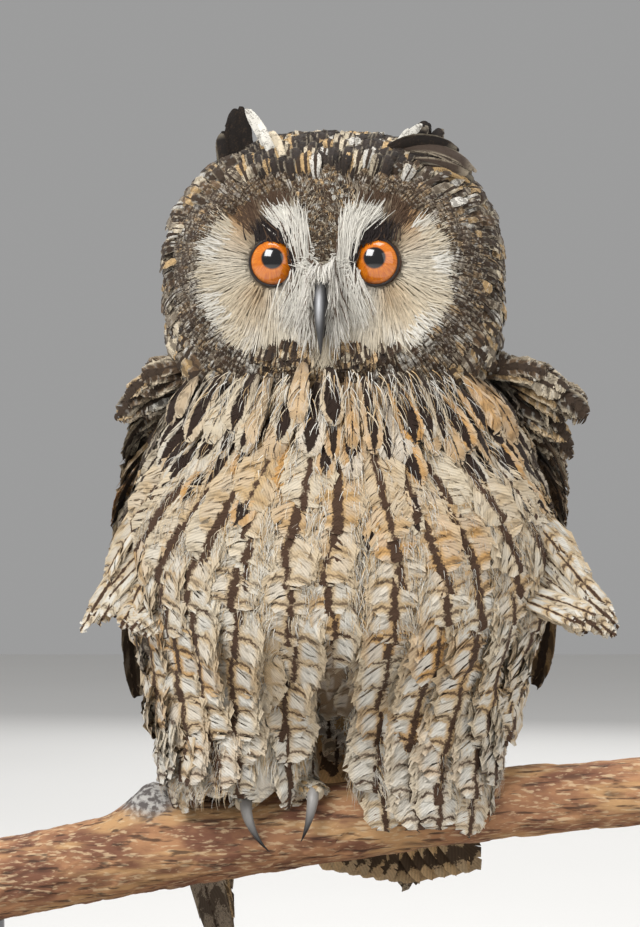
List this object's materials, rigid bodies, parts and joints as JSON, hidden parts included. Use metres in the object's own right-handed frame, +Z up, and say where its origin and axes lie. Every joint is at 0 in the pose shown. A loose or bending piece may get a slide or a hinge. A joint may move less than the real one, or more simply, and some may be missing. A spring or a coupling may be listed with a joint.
{
  "type": "long-eared owl",
  "caption": "Life-size long-eared owl, fluffed up and facing forwards, perched on a cut length of pine branch on a plain display stand.",
  "frame": {"origin": "on the floor under the middle of the stand's base", "axes": "+Z up, +X along the branch to the viewer's right, the owl faces -Y"},
  "size_m": [0.28, 0.196, 0.3588],
  "materials": {
    "plumage": "soft matte feathers, buff and cream with dark brown shaft streaks and fine bars",
    "dark_plumage": "matte flight, tail and ear feathers, dark brown barred with buff",
    "eye": "wet gloss, orange iris round a black pupil",
    "horn": "smooth dark grey horn with a soft gloss",
    "bark": "flaky reddish brown pine bark with ochre flakes",
    "base_wood": "dark stained wood, satin",
    "rod_steel": "brushed dark steel"
  },
  "bodies": {
    "root": {"head": "plumage", "neck": "plumage", "torso": "plumage", "leg_left": "plumage", "leg_right": "plumage", "foot_left": "plumage", "foot_right": "plumage", "ear_tuft_left": "dark_plumage", "ear_tuft_right": "dark_plumage", "wing_left": "dark_plumage", "wing_right": "dark_plumage", "tail": "dark_plumage", "eye_left": "eye", "eye_right": "eye", "bill_upper": "horn", "bill_lower": "horn", "talon_left_inner": "horn", "talon_left_outer": "horn", "talon_left_back_inner": "horn", "talon_left_back_outer": "horn", "talon_right_inner": "horn", "talon_right_outer": "horn", "talon_right_back_inner": "horn", "talon_right_back_outer": "horn", "perch": "bark", "stand_base": "base_wood", "stand_rod_left": "rod_steel", "stand_rod_right": "rod_steel"}
  },
  "joints": []
}
